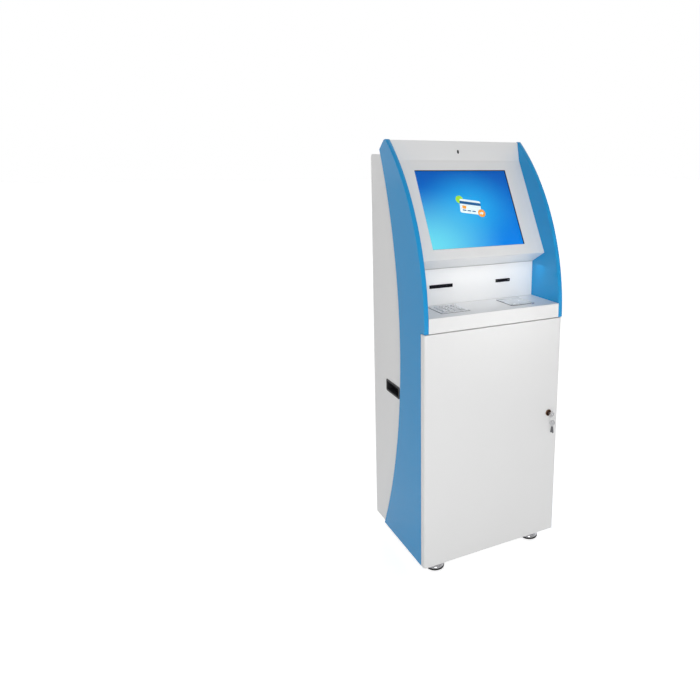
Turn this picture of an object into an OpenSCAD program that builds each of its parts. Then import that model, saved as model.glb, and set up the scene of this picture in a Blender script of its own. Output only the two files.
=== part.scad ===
// Free-standing self-service banking terminal with a tilted touch screen, a key shelf,
// two curved wing panels, a lockable front door and a rear service door.
// Millimetres. X runs to the viewer's right, Y from front to back, Z up from the floor.
// Modules draw with Y = 0 on the front face of the door; placed() then centres the depth.

/* [Overall] */
// Width over the two wing panels
total_w = 560; // [556:1:566]
// Height from the floor to the wing tips
total_h = 1520; // [1519:1:1522]
// Depth from the door face to the back panel
cabinet_d = 455; // [454:1:458]
// Height of the white cabinet behind the wings
cabinet_h = 1468; // [1467:1:1469]
// Thickness of the folded steel sheet
sheet = 2; // [1.8:0.1:2.1]

/* [Wings] */
// Full thickness of a wing where it stands free beside the screen
wing_t = 16; // [15:0.5:17]
// Radius of the convex front edge
front_arc_r = 792; // [788:1:796]
// Radius of the hollow rear edge
rear_arc_r = 1680; // [1660:5:1700]
// Foremost point of the rear edge, measured from the door face
rear_arc_y = 193; // [191:1:194]
// Height of that foremost point
rear_arc_z = 762; // [750:1:770]

/* [Screen] */
// Width of the visible display
screen_w = 376; // [360:1:378]
// Height of the visible display, along the slope
screen_h = 299; // [280:1:301]

/* [Door] */
// Top edge of the front door
door_top = 894; // [893:0.5:895]
// Depth of the folded door pan
door_t = 26; // [25:0.5:26]
// Outer radius of the door's upright bends
door_round = 9; // [6:0.5:11]
// Height of the lock on the door
lock_z = 532; // [500:1:560]

/* [Shelf] */
// Height of the key shelf
shelf_z = 948; // [946:1:950]
// Travel of a PIN pad key
key_travel = 2.5; // [1:0.5:3]

/* [Feet] */
// Clear height under the cabinet
floor_gap = 40; // [38:1:42]
// Radius of a levelling foot
foot_r = 33; // [28:1:35]

/* [Hidden] */
$fn = 48;
ARC_FN = 256;

PAD_KEYS = ["1", "2", "3", "cancel", "4", "5", "6", "clear",
            "7", "8", "9", "help", "dot", "0", "double_zero", "enter"];
CABINET_NODES = ["base_tray", "side_wall_left", "side_wall_right", "back_panel", "top_cover",
                 "wing_left", "wing_right", "screen_fascia", "recess_panel", "shelf_deck",
                 "door_frame", "equipment_shelf", "hinge_pins", "carry_handles", "power_inlet"];
DEVICE_NODES = ["computer_unit", "power_unit", "monitor_chassis", "lcd_panel", "touch_glass",
                "camera_module", "receipt_printer", "receipt_bezel", "card_reader", "card_bezel",
                "pin_pad_housing", "id_reader", "id_reader_window", "paper_roll"];
DOOR_NODES = ["front_door", "door_stiffeners", "lock_barrel", "lock_plug", "lock_cam",
              "service_key", "key_ring", "spare_keys", "rear_door", "rear_latch"];
FEET = ["foot_front_left", "foot_front_right", "foot_rear_left", "foot_rear_right"];

// Colours
WHITE = [0.93, 0.93, 0.93];
BLUE = [0.16, 0.52, 0.80];
BLACK = [0.05, 0.05, 0.06];
STEEL = [0.70, 0.71, 0.72];
BRASS = [0.62, 0.47, 0.27];

// Cabinet planes
wing_x = total_w / 2;                 // outer face of a wing
wall_x = wing_x - wing_t / 2;         // outer face of a side wall
liner_x = wing_x - wing_t;            // inner face of a wing beside the screen
inner_x = wall_x - sheet;             // inner face of a side wall
between_wings = 2 * (liner_x - 0.3);  // width of the panels that sit between the wings
frame_y = door_t + 2;                 // front plane of the door frame and of the lower wings
door_gap = 3;                         // gap over the door, and round the rear door
wing_step_z = door_top + door_gap;    // where a wing steps forward over the door
back_y = cabinet_d;                   // rear face of the back panel
tray_z = floor_gap + sheet;           // upper face of the base tray
flange_h = 10;                        // height of the tray's upturned edges

// Line of the front panels, as [y, z] points
header_top = [299, total_h - 2];
kink = [284, 1450];
fascia_foot = [100, 1121];
recess_y = 174;
soffit_back = [recess_y, 1079];
screen_mid = (kink + fascia_foot) / 2;
screen_tilt = atan((kink[0] - fascia_foot[0]) / (kink[1] - fascia_foot[1]));
liner_back = 8;                       // how far a wing's inner skin runs behind the panels
camera_z = 1481;
lens_w = 7.5;
lens_h = 12;
camera_y = kink[0] + (header_top[0] - kink[0]) * (camera_z - kink[1]) / (header_top[1] - kink[1]);
header_tilt = atan((header_top[0] - kink[0]) / (header_top[1] - kink[1]));

// Chamfer behind the wing tip, and the rounding between it and the top edge
tip_y = 314;
tip_fall = [44, -36];
tip_round = 28;
TIP_STEPS = 6;

// Front door hinge and lock
hinge_r = 3;
hinge_hole_r = 3.05;
hinge_x = -(wing_x - 5.6);
hinge_y = 16;
door_bottom = floor_gap + 3;
jamb_w = 20;
lock_x = 236;
lock_face = -3;
plug_r = 6;
plug_back = 31;
cam_y = 32;
cam_t = 2.5;
bow_y = -21;
bow_r = 11.5;
bow_hole_y = -27;
bow_hole_r = 4;
ring_r = 12;
ring_wire = 1;
ring_drop = 1.05;                     // the ring's top wire hangs this far below the lock's axis
ring_z = lock_z - ring_drop - ring_r;
key_tilt = 35;
spare_hole_r = 4.2;
spare_bow_r = 9.5;
spare_drop = 4;                       // from the middle of the hole down to the middle of the bow
spare_play = 0.9;                     // how far the ring's wire stands off the edge of the hole
spare_t = 2.4;
spare_yaw = 30;
spare_swing = 7;

// Sizes of the sheet frame behind the door
rail_h = 28;                          // height of its upper and lower rail
lintel_d = 16;                        // depth of the flange over the door

// Shelf and devices in the lower cabinet
equip_z = 470;                        // upper face of the equipment shelf
equip_y = [130, 438];
equip_fold = 20;                      // height of the shelf's folded edges
computer_box = [[-190, 180, equip_z], [130, 420, 556]];
power_box = [[-30, 290, tray_z], [150, 425, 122]];

// Rear door
rear_half_w = 212;
rear_bottom = 123;
rear_top = 1377;
rear_t = 12;
rear_hinge_x = -204;
rear_hinge_y = back_y - 7;
rear_hole = rear_half_w + 4;
rear_edge = 14;
latch_x = 190;
latch_z = 750;
louvre_z = [200, 1180];               // lowest slot of each group of louvres
louvre_n = 11;
louvre_pitch = 12;
louvre_x = 90;
louvre_size = [120, 3.5];

// Feet, anchor holes and cable entry
foot_x = 208;
foot_y = [58, 400];
stud_r = 6;
anchor_x = 150;
anchor_y = [90, 250];
anchor_r = 6.5;
cable_hole = [-150, 350];
cable_r = 25;

// Power inlet, as [x, z] of its middle
power_inlet_mid = [-190, 82];

// Carry handle, as [y, z] of its middle and its sizes
handle_mid = [276, 623];
handle_size = [120, 46];
pocket_size = [102, 32];
pocket_deep = 22;

// Slots in the recess wall
receipt_x = -128;
receipt_size = [92, 12];
card_x = 131;
card_size = [62, 11.5];
slot_z = 1015;
slot_proud = 2;
core_r = 6;

// Outer size of the touch glass
glass_size = [408, 332];

skin = 1.5;                           // wall of a device case

// Devices in the shelf
pad_n = 4;                            // keys along each side of the PIN pad, named in PAD_KEYS
pad_mid = [-135, 100];
pad_size = [112, 104];
pad_pitch = [22, 21];
cap_size = [17, 15.4];
cap_gap = 0.5;
cap_top = shelf_z + 5;
cap_h = 6;
well_floor = shelf_z - 6;
reader_mid = [137, 96];
reader_size = [98, 106];
reader_tub = [90, 98];
window_size = [88, 96];

// Depth of the whole object, from the spare keys to the rear latch
front_most = bow_hole_y - spare_t / 2 * sin(spare_yaw)
             - (spare_bow_r + spare_drop * sin(spare_swing)) * cos(spare_yaw);
rear_most = back_y + 6;
depth_mid = (front_most + rear_most) / 2;

// ---------- helpers ----------

module placed() translate([0, -depth_mid, 0]) children();

// A box from its lowest to its highest corner
module box(a, b) translate(a) cube(b - a);

// Both hands of a part
module both_sides() { children(); mirror([1, 0, 0]) children(); }

// A [y, z] outline as a slab from x0 to x1
module slab(x0, x1) translate([x0, 0, 0]) rotate([90, 0, 90]) linear_extrude(x1 - x0) children();

// A cylinder along Y from y0 to y1 at [x, z]
module bar_y(x, z, r, y0, y1) translate([x, y0, z]) rotate([-90, 0, 0]) cylinder(r = r, h = y1 - y0);

// A cylinder along Z from z0 to z1 at [x, y]
module bar_z(x, y, r, z0, z1) translate([x, y, z0]) cylinder(r = r, h = z1 - z0);

function unit(v) = v / norm(v);
function left_of(v) = [-v[1], v[0]];
function side_normal(path, i) =
    let (a = i == 0 ? undef : left_of(unit(path[i] - path[i - 1])),
         b = i == len(path) - 1 ? undef : left_of(unit(path[i + 1] - path[i])))
    is_undef(a) ? b : is_undef(b) ? a : (a + b) / (1 + a * b);
// The path and its parallel, t to the left of it, as one closed outline
function sheet_outline(path, t) =
    concat(path, [for (i = [len(path) - 1 : -1 : 0]) path[i] + t * side_normal(path, i)]);

// Folded sheet of the given width across X, with its thickness to the left of the [y, z] path
module bent_sheet(path, width) slab(-width / 2, width / 2) polygon(sheet_outline(path, sheet));

// Local frame on the sloping panel: X across, Y into the machine, Z up the slope
module on_slope() translate([0, screen_mid[0], screen_mid[1]]) rotate([-screen_tilt, 0, 0]) children();

// Local frame on the header: X across, Y into the machine, its origin on the camera's axis
module on_header() translate([0, camera_y, camera_z]) rotate([-header_tilt, 0, 0]) children();

// Upright oval of the camera's lens or of its hole, from y0 to y1
module lens_slot(r, y0, y1) {
    for (s = [-1, 1]) bar_y(0, s * (lens_h - lens_w) / 2, r, y0, y1);
    translate([-r, y0, (lens_w - lens_h) / 2]) cube([2 * r, y1 - y0, lens_h - lens_w]);
}

module rounded_rect(size, r) {
    square([size[0] - 2 * r, size[1]], center = true);
    square([size[0], size[1] - 2 * r], center = true);
    for (sx = [-1, 1], sy = [-1, 1])
        translate([sx * (size[0] / 2 - r), sy * (size[1] / 2 - r)]) circle(r);
}

// ---------- cabinet ----------

module base_tray() color(WHITE) difference() {
    union() {
        box([-inner_x, frame_y + 2, floor_gap], [inner_x, back_y - 2 * sheet, tray_z]);
        both_sides() box([inner_x - sheet, frame_y + 34, tray_z], [inner_x, back_y - 24, tray_z + flange_h]);
        box([-inner_x + 4, frame_y + 2, tray_z], [inner_x - 4, frame_y + 2 + sheet, tray_z + flange_h]);
        // Tongue under the door for the lower hinge pin
        box([-wing_x + 1, 8, floor_gap], [-wing_x + 26, frame_y - 0.5, tray_z]);
        box([-inner_x, 8, floor_gap], [-wing_x + 26, frame_y + 4, tray_z]);
    }
    for (sx = [-1, 1], y = foot_y) bar_z(sx * foot_x, y, stud_r + 0.1, floor_gap - 1, tray_z + 1);
    for (sx = [-1, 1], y = anchor_y) bar_z(sx * anchor_x, y, anchor_r, floor_gap - 1, tray_z + 1);
    bar_z(cable_hole[0], cable_hole[1], cable_r, floor_gap - 1, tray_z + 1);
    bar_z(hinge_x, hinge_y, hinge_hole_r, floor_gap - 1, tray_z + 1);
}

// Side wall outline: full height at the back, stepped behind the shelf and the sloping screen
module wall_outline() polygon([
    [frame_y, floor_gap], [frame_y, door_top + 1], [recess_y + liner_back + 2, door_top + 1],
    [recess_y + liner_back + 2, 1250.5], [kink[0] + liner_back + 2, 1454],
    [header_top[0] + liner_back + 2, header_top[1] - 5], [tip_y - 3, header_top[1] - 5],
    [351, 1480], [361, cabinet_h - 2.2], [back_y - 14, cabinet_h - 2.2],
    [back_y - 6, cabinet_h - 6], [back_y - 2.5, cabinet_h - 15], [back_y - 2, floor_gap]]);

module side_wall() color(WHITE) difference() {
    union() {
        slab(inner_x, wall_x) wall_outline();
        box([inner_x - 20, back_y - 2 * sheet, tray_z], [inner_x, back_y - sheet, 1436]);
    }
    slab(inner_x - 1, wall_x + 1) translate(handle_mid) square(pocket_size + [6, 6], center = true);
}

module back_panel() color(WHITE) difference() {
    union() {
        box([-wall_x, back_y - sheet, floor_gap], [wall_x, back_y, 1440]);
        box([-rear_hole - sheet, back_y - rear_edge, rear_bottom - door_gap - sheet],
            [rear_hole + sheet, back_y - sheet, rear_top + door_gap + sheet]);
    }
    box([-rear_hole, back_y - rear_edge - 1, rear_bottom - door_gap],
        [rear_hole, back_y + 1, rear_top + door_gap]);
    bar_z(rear_hinge_x, rear_hinge_y, hinge_hole_r, 100, 1400);
    power_inlet_space(0.2);
}

// The cover's folds, from the header over the chamfer to the rounded rear edge
cover_path = concat(
    [[back_y, 1442]],
    [for (a = [0 : 15 : 90]) [back_y - 14 + 14 * cos(a), cabinet_h - 14 + 14 * sin(a)]],
    [[364, cabinet_h], [356, header_top[1] - 35], [tip_y - 1, header_top[1]], header_top + [2.3, 0]]);
COVER_BACK = 9;                       // points of cover_path behind the wings
COVER_SLOPE = 11;                     // points of cover_path behind the wings' inner skins
function first_points(path, n) = [for (i = [0 : n - 1]) path[i]];

module top_cover() color(WHITE) {
    bent_sheet(cover_path, between_wings);
    bent_sheet(first_points(cover_path, COVER_SLOPE), 2 * (inner_x - 0.2));
    bent_sheet(first_points(cover_path, COVER_BACK), 2 * wall_x);
}

// ---------- wings ----------

// The wing's tip, rounded from the top edge to the chamfer, moved in by k
function tip_points(k) =
    let (turn = atan(-tip_fall[1] / tip_fall[0]),
         mid = [tip_y - tip_round * (1 - cos(turn)) / sin(turn), total_h - tip_round])
    [for (i = [0 : TIP_STEPS]) let (a = turn * i / TIP_STEPS) mid + (tip_round - k) * [sin(a), cos(a)]];

// The wing's side outline, moved in by k all round
module wing_outline(k) {
    tip = tip_points(k);
    difference() {
        union() {
            translate([frame_y + k, floor_gap + k])
                square([rear_arc_y + 200, wing_step_z - floor_gap + 1]);
            intersection() {
                polygon(concat([[-5, wing_step_z + k], [-5, total_h - k]], tip,
                               [tip[TIP_STEPS] + 2 * tip_fall, [tip_y + 2 * tip_fall[0], wing_step_z + k]]));
                translate([front_arc_r, wing_step_z]) circle(front_arc_r - k, $fn = ARC_FN);
            }
        }
        translate([rear_arc_y + rear_arc_r, rear_arc_z]) circle(rear_arc_r + k, $fn = ARC_FN);
    }
}

// Where the wing stands free: in front of the panels, plus what runs behind them by extra
module liner_zone(extra) polygon([
    [-10, wing_step_z - 5], [recess_y + extra, wing_step_z - 5], [recess_y + extra, 1250],
    [kink[0] + extra, 1454], [header_top[0] + extra, total_h + 5], [-10, total_h + 5]]);

module wing_shell() difference() {
    union() {
        slab(wall_x, wing_x) wing_outline(0);
        slab(liner_x, wall_x) intersection() {
            wing_outline(0);
            liner_zone(liner_back);
            translate([-10, wing_step_z]) square([500, 700]);
        }
    }
    slab(wall_x - 0.01, wing_x - sheet) wing_outline(sheet);
    slab(liner_x + sheet, wing_x - sheet) intersection() {
        wing_outline(sheet);
        liner_zone(liner_back + 6);
        translate([-10, wing_step_z + sheet]) square([500, 700]);
    }
}

module wing_right() color(BLUE) wing_shell();

module wing_left() color(BLUE) difference() {
    mirror([1, 0, 0]) wing_shell();
    bar_z(hinge_x, hinge_y, hinge_hole_r, wing_step_z - 1, wing_step_z + sheet + 1);
}

// ---------- front panels ----------

module screen_fascia() color(WHITE) difference() {
    bent_sheet([header_top, kink, fascia_foot, soffit_back], between_wings);
    on_slope() cube([screen_w, 20, screen_h], center = true);
    on_header() lens_slot(lens_w / 2 + 0.3, -1, sheet + 1);
}

module recess_panel() color(WHITE) difference() {
    bent_sheet([[recess_y + 14, soffit_back[1] - 1], [recess_y, soffit_back[1] - 1], [recess_y, shelf_z],
                [recess_y + 14, shelf_z]], between_wings);
    slot_space(receipt_x, receipt_size, 0.2);
    slot_space(card_x, card_size, 0.2);
}

module slot_space(x, size, gap)
    box([x - size[0] / 2 - gap, recess_y - 5, slot_z - size[1] / 2 - gap],
        [x + size[0] / 2 + gap, recess_y + 5, slot_z + size[1] / 2 + gap]);

module shelf_deck() color(WHITE) difference() {
    bent_sheet([[recess_y + 26, shelf_z], [0, shelf_z], [0, wing_step_z], [20, wing_step_z]], between_wings);
    translate([pad_mid[0], pad_mid[1], shelf_z])
        cube([pad_size[0] - 10, pad_size[1] - 6, 10], center = true);
    translate([reader_mid[0], reader_mid[1], shelf_z])
        cube([reader_size[0] - 6, reader_size[1] - 6, 10], center = true);
}

module door_frame() color(WHITE) {
    both_sides() box([inner_x - jamb_w, frame_y, tray_z], [inner_x, frame_y + sheet, door_top]);
    box([-inner_x + 1, frame_y, door_top - rail_h], [inner_x - 1, frame_y + sheet, door_top]);
    box([-inner_x + 1, frame_y, door_top - sheet], [inner_x - 1, frame_y + lintel_d, door_top]);
    box([-inner_x + 1, frame_y, tray_z], [inner_x - 1, frame_y + sheet, tray_z + rail_h]);
}

module equipment_shelf() color(STEEL) {
    box([-inner_x, equip_y[0], equip_z - sheet], [inner_x, equip_y[1], equip_z]);
    box([-inner_x, equip_y[0], equip_z - equip_fold], [inner_x, equip_y[0] + sheet, equip_z - 1]);
    both_sides()
        box([inner_x - sheet, equip_y[0], equip_z - 1], [inner_x, equip_y[1], equip_z + equip_fold]);
}

// Fixed pins of the two doors, one above and one below each
module hinge_pins() color(STEEL) {
    bar_z(hinge_x, hinge_y, hinge_r, floor_gap, floor_gap + 16);
    bar_z(hinge_x, hinge_y, hinge_r, door_top - 10, wing_step_z + 6);
    bar_z(rear_hinge_x, rear_hinge_y, hinge_r, rear_bottom - 7, rear_bottom + 11);
    bar_z(rear_hinge_x, rear_hinge_y, hinge_r, rear_top - 11, rear_top + 7);
}

module carry_handle() difference() {
    union() {
        slab(wall_x, wall_x + 2) translate(handle_mid) rounded_rect(handle_size, 8);
        slab(wall_x - pocket_deep - 2, wall_x + 1)
            translate(handle_mid) square(pocket_size + [4, 4], center = true);
    }
    slab(wall_x - pocket_deep, wall_x + 5) translate(handle_mid) square(pocket_size, center = true);
}

module carry_handles() color(BLACK) both_sides() carry_handle();

// ---------- front door ----------

// The door seen from above, moved in by k, with its back edge at y1
module door_section(k, y1) {
    x = wing_x - door_round;
    translate([-x, k]) square([2 * x, y1 - k]);
    translate([k - wing_x, door_round]) square([2 * (wing_x - k), y1 - door_round]);
    for (s = [-1, 1]) translate([s * x, door_round]) circle(door_round - k);
}

module door_pan() difference() {
    translate([0, 0, door_bottom]) linear_extrude(door_top - door_bottom) door_section(0, door_t);
    translate([0, 0, door_bottom + sheet]) linear_extrude(door_top - door_bottom - 2 * sheet)
        door_section(sheet, door_t + 1);
}

module front_door() color(WHITE) difference() {
    door_pan();
    bar_y(lock_x, lock_z, 9.6, -1, sheet + 1);
    bar_z(hinge_x, hinge_y, hinge_hole_r, door_bottom - 1, door_bottom + sheet + 1);
    bar_z(hinge_x, hinge_y, hinge_hole_r, door_top - sheet - 1, door_top + 1);
}

// Hat channels on the inside of the door skin
module door_stiffeners() color(WHITE) for (x = [-130, 110])
    translate([x, 0, 0]) difference() {
        union() {
            box([-18, sheet, 90], [18, 20, 850]);
            box([-32, sheet, 90], [32, 2 * sheet, 850]);
        }
        box([-16, sheet - 1, 80], [16, 18, 860]);
    }

module lock_barrel() color(BRASS) difference() {
    union() {
        bar_y(lock_x, lock_z, 12, lock_face, 0);
        bar_y(lock_x, lock_z, 9.5, -1, 30);
        translate([lock_x, sheet, lock_z]) rotate([-90, 0, 0]) cylinder(r = 14, h = 5, $fn = 6);
    }
    bar_y(lock_x, lock_z, plug_r + 0.08, lock_face - 1, 31);
}

module lock_plug() color(BRASS) difference() {
    union() {
        bar_y(lock_x, lock_z, plug_r, lock_face - 0.5, plug_back);
        bar_y(lock_x, lock_z, 4, plug_back - 1, plug_back + 7);
    }
    on_lock() box([-1.4, lock_face - 1, -4.6], [1.4, 27, 4.6]);
}

// A flat bar that hangs from its hub, for either door's catch
module cam(x, z, y, hub_r, reach) difference() {
    union() {
        bar_y(x, z, 9, y, y + cam_t);
        box([x - 6, y, z - reach + 6], [x + 6, y + cam_t, z]);
        bar_y(x, z - reach + 6, 6, y, y + cam_t);
    }
    bar_y(x, z, hub_r, y - 1, y + cam_t + 1);
}

module lock_cam() color(STEEL) cam(lock_x, lock_z, cam_y, 4.05, 28);

// Local frame on the lock's axis, turned as the key sits
module on_lock() translate([lock_x, 0, lock_z]) rotate([0, key_tilt, 0]) children();

module service_key() color(STEEL) on_lock() {
    slab(-1.2, 1.2) difference() {
        union() {
            translate([bow_y, 0]) circle(bow_r);
            translate([bow_y, -5]) square([lock_face - 0.7 - bow_y, 10]);
        }
        translate([bow_hole_y, 0]) circle(bow_hole_r);
    }
    slab(-1.1, 1.1) translate([lock_face - 1, -4]) square([27, 8]);
}

module key_ring() color(STEEL) translate([lock_x, bow_hole_y, ring_z]) rotate([90, 0, 0])
    rotate_extrude() translate([ring_r, 0]) circle(ring_wire);

// One spare key, its hole at the origin, hanging along -Z in its own X plane
module spare_key() slab(-spare_t / 2, spare_t / 2) difference() {
    union() {
        translate([0, -spare_drop]) circle(spare_bow_r);
        translate([-3.5, -44]) square([7, 36]);
    }
    circle(spare_hole_r);
}

module spare_keys() color(STEEL) for (s = [-1, 1])
    translate([lock_x + s * 1.95, bow_hole_y, ring_z - ring_r - spare_hole_r + ring_wire + spare_play])
        rotate([0, 0, spare_yaw]) rotate([s * spare_swing, 0, 0]) spare_key();

// ---------- rear door ----------

module louvres(z0) for (i = [0 : louvre_n - 1], x = [-louvre_x, louvre_x])
    translate([x - louvre_size[0] / 2, back_y - 5, z0 + i * louvre_pitch])
        cube([louvre_size[0], 10, louvre_size[1]]);

module rear_door() color(WHITE) difference() {
    box([-rear_half_w, back_y - rear_t, rear_bottom], [rear_half_w, back_y, rear_top]);
    box([-rear_half_w + sheet, back_y - rear_t - 1, rear_bottom + sheet],
        [rear_half_w - sheet, back_y - sheet, rear_top - sheet]);
    for (z = louvre_z) louvres(z);
    bar_y(latch_x, latch_z, 5.1, back_y - 5, back_y + 1);
    bar_z(rear_hinge_x, rear_hinge_y, hinge_hole_r, rear_bottom - 1, rear_top + 1);
}

module rear_latch() color(STEEL) {
    bar_y(latch_x, latch_z, 10, back_y + 0.5, rear_most);
    bar_y(latch_x, latch_z, 5, back_y - 19, back_y + 1);
    cam(latch_x, latch_z, back_y - 19, 4.9, 34);
}

// ---------- devices ----------

// Closed case with walls of one skin
module case(corners) difference() {
    box(corners[0], corners[1]);
    box(corners[0] + skin * [1, 1, 1], corners[1] - skin * [1, 1, 1]);
}

module computer_unit() color(STEEL) case(computer_box);

module power_unit() color(STEEL) case(power_box);

// Space of the inlet's body in the back panel, larger by gap on each side
module power_inlet_space(gap) translate([power_inlet_mid[0], back_y - 1, power_inlet_mid[1]])
    cube([28 + 2 * gap, 10, 20 + 2 * gap], center = true);

module power_inlet() color(BLACK) translate([power_inlet_mid[0], 0, power_inlet_mid[1]]) difference() {
    union() {
        box([-25, back_y, -14], [25, back_y + 2.5, 14]);
        box([-14, back_y - 22, -10], [14, back_y + 1, 10]);
    }
    box([-12, back_y - 16, -8], [12, back_y + 4, 8]);
}

// A plate centred on the slope, from depth y0 to y1 behind the fascia's face
module sloped_plate(size, y0, y1)
    translate([-size[0] / 2, y0, -size[1] / 2]) cube([size[0], y1 - y0, size[1]]);

module monitor_chassis() color(STEEL) on_slope() difference() {
    union() {
        sloped_plate(glass_size + [4.4, 4.4], 2, 21);
        sloped_plate(glass_size - [18, 22], 20, 58);
    }
    sloped_plate(glass_size + [0.4, 0.4], 1, 19);
    sloped_plate(glass_size - [22, 26], 15, 56);
}

module lcd_panel() color(BLACK) on_slope() sloped_plate(glass_size - [4, 4], 5.1, 19);

module touch_glass() color([0.10, 0.45, 0.85]) on_slope() sloped_plate(glass_size, 2.05, 5);

module camera_module() color(BLACK) on_header() {
    box([-17, sheet, -13], [17, 24, 13]);
    lens_slot(lens_w / 2, 0.5, 4);
}

module receipt_printer() color(BLACK) {
    box([receipt_x - 72, recess_y + 12, 968], [receipt_x + 72, recess_y + 124, 1068]);
    for (sx = [-1, 1]) box([receipt_x + sx * 43 - 1.5, recess_y + 123, 984],
                           [receipt_x + sx * 43 + 1.5, recess_y + 176, 1024]);
    translate([receipt_x - 46, recess_y + 164, 1004]) rotate([0, 90, 0]) cylinder(r = core_r - 0.06, h = 92);
}

module paper_roll() color([0.97, 0.97, 0.95]) translate([receipt_x - 39.5, recess_y + 164, 1004])
    rotate([0, 90, 0]) difference() {
        cylinder(r = 30, h = 79);
        translate([0, 0, -1]) cylinder(r = core_r, h = 81);
    }

// Slot mouth: a block through the recess wall with a slit from front to back
module slot_mouth(x, size, slit) difference() {
    box([x - size[0] / 2, recess_y - slot_proud, slot_z - size[1] / 2],
        [x + size[0] / 2, recess_y + 12, slot_z + size[1] / 2]);
    box([x - slit[0] / 2, recess_y - 5, slot_z - slit[1] / 2],
        [x + slit[0] / 2, recess_y + 20, slot_z + slit[1] / 2]);
}

module receipt_bezel() color(BLACK) slot_mouth(receipt_x, receipt_size, [82, 3.5]);

module card_bezel() color(BLACK) slot_mouth(card_x, card_size, [55, 2.6]);

module card_reader() color(BLACK) {
    box([card_x - 42, recess_y + 14, 985], [card_x + 42, recess_y + 156, 1046]);
    box([card_x - 34, recess_y + 12, 1000], [card_x + 34, recess_y + 15, 1030]);
}

// Middle of key number i, counted row by row from the back left
function key_mid(i) = pad_mid + [(i % pad_n - (pad_n - 1) / 2) * pad_pitch[0],
                                 ((pad_n - 1) / 2 - floor(i / pad_n)) * pad_pitch[1]];

module pin_pad_housing() color(STEEL) difference() {
    union() {
        translate([pad_mid[0], pad_mid[1], shelf_z]) linear_extrude(2) rounded_rect(pad_size, 4);
        box([pad_mid[0] - pad_size[0] / 2 + 6, pad_mid[1] - pad_size[1] / 2 + 4, shelf_z - 35],
            [pad_mid[0] + pad_size[0] / 2 - 6, pad_mid[1] + pad_size[1] / 2 - 4, shelf_z + 1]);
    }
    for (i = [0 : pad_n * pad_n - 1]) translate([key_mid(i)[0], key_mid(i)[1], well_floor])
        linear_extrude(20) square(cap_size + 2 * [cap_gap, cap_gap], center = true);
}

module pin_key(i) color(STEEL) translate([key_mid(i)[0], key_mid(i)[1], cap_top - cap_h])
    linear_extrude(cap_h) square(cap_size, center = true);

module id_reader() color([0.62, 0.63, 0.64]) difference() {
    union() {
        translate([reader_mid[0], reader_mid[1], shelf_z]) linear_extrude(2) rounded_rect(reader_size, 4);
        translate([reader_mid[0], reader_mid[1], shelf_z - 30])
            linear_extrude(31) square(reader_tub, center = true);
    }
    translate([reader_mid[0], reader_mid[1], shelf_z - 0.5])
        linear_extrude(12) square(window_size + [0.4, 0.4], center = true);
}

module id_reader_window() color([0.85, 0.87, 0.88])
    translate([reader_mid[0], reader_mid[1], shelf_z - 0.5])
        linear_extrude(2) square(window_size, center = true);

// ---------- feet ----------

// Levelling foot: a domed pad and a threaded stud that turns with it
module levelling_foot(x, y) color(BLACK) translate([x, y, 0]) {
    rotate_extrude() polygon([[0, 0], [foot_r - 1, 0], [foot_r, 1], [foot_r, 6], [foot_r - 4, 12],
                              [foot_r - 13, 17], [11, 20], [11, 25], [0, 25]]);
    translate([0, 0, 20]) cylinder(r = stud_r, h = 44);
}

// Nuts that clamp each stud to the tray, one below and one above it
module foot_lock_nuts() color(STEEL) for (sx = [-1, 1], y = foot_y, z = [floor_gap - 8, tray_z])
    translate([sx * foot_x, y, z]) difference() {
        cylinder(r = 11, h = 8, $fn = 6);
        translate([0, 0, -1]) cylinder(r = stud_r + 0.1, h = 10);
    }

// ---------- nodes ----------

placed() base_tray();
placed() mirror([1, 0, 0]) side_wall();  // side_wall_left
placed() side_wall();  // side_wall_right
placed() back_panel();
placed() top_cover();
placed() wing_left();
placed() wing_right();
placed() screen_fascia();
placed() recess_panel();
placed() shelf_deck();
placed() door_frame();
placed() equipment_shelf();
placed() hinge_pins();
placed() carry_handles();
placed() power_inlet();
placed() computer_unit();
placed() power_unit();
placed() monitor_chassis();
placed() lcd_panel();
placed() touch_glass();
placed() camera_module();
placed() receipt_printer();
placed() receipt_bezel();
placed() card_reader();
placed() card_bezel();
placed() pin_pad_housing();
placed() id_reader();
placed() id_reader_window();
placed() paper_roll();
placed() front_door();
placed() door_stiffeners();
placed() lock_barrel();
placed() lock_plug();
placed() lock_cam();
placed() service_key();
placed() key_ring();
placed() spare_keys();
placed() rear_door();
placed() rear_latch();
placed() foot_lock_nuts();
for (i = [0 : len(FEET) - 1]) placed() levelling_foot((i % 2 == 0 ? -1 : 1) * foot_x, foot_y[floor(i / 2)]);
for (i = [0 : len(PAD_KEYS) - 1]) placed() pin_key(i);
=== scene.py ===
import math

import bmesh
import bpy
from mathutils import Matrix, Vector


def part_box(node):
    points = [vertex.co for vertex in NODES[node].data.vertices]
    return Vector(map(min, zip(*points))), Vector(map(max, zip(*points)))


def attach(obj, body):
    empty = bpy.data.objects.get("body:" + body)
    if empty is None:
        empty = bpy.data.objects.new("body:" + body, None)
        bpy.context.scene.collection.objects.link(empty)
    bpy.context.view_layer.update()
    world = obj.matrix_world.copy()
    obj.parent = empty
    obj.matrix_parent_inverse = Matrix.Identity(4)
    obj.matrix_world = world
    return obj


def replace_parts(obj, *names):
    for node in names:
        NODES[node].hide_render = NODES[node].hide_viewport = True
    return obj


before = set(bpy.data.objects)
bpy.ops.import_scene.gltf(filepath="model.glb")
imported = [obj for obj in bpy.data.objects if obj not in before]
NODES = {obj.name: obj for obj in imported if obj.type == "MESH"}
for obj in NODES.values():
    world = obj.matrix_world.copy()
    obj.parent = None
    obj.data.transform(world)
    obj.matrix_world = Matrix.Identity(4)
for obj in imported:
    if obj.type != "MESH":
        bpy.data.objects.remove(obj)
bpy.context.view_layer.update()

MM = 0.001
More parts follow.
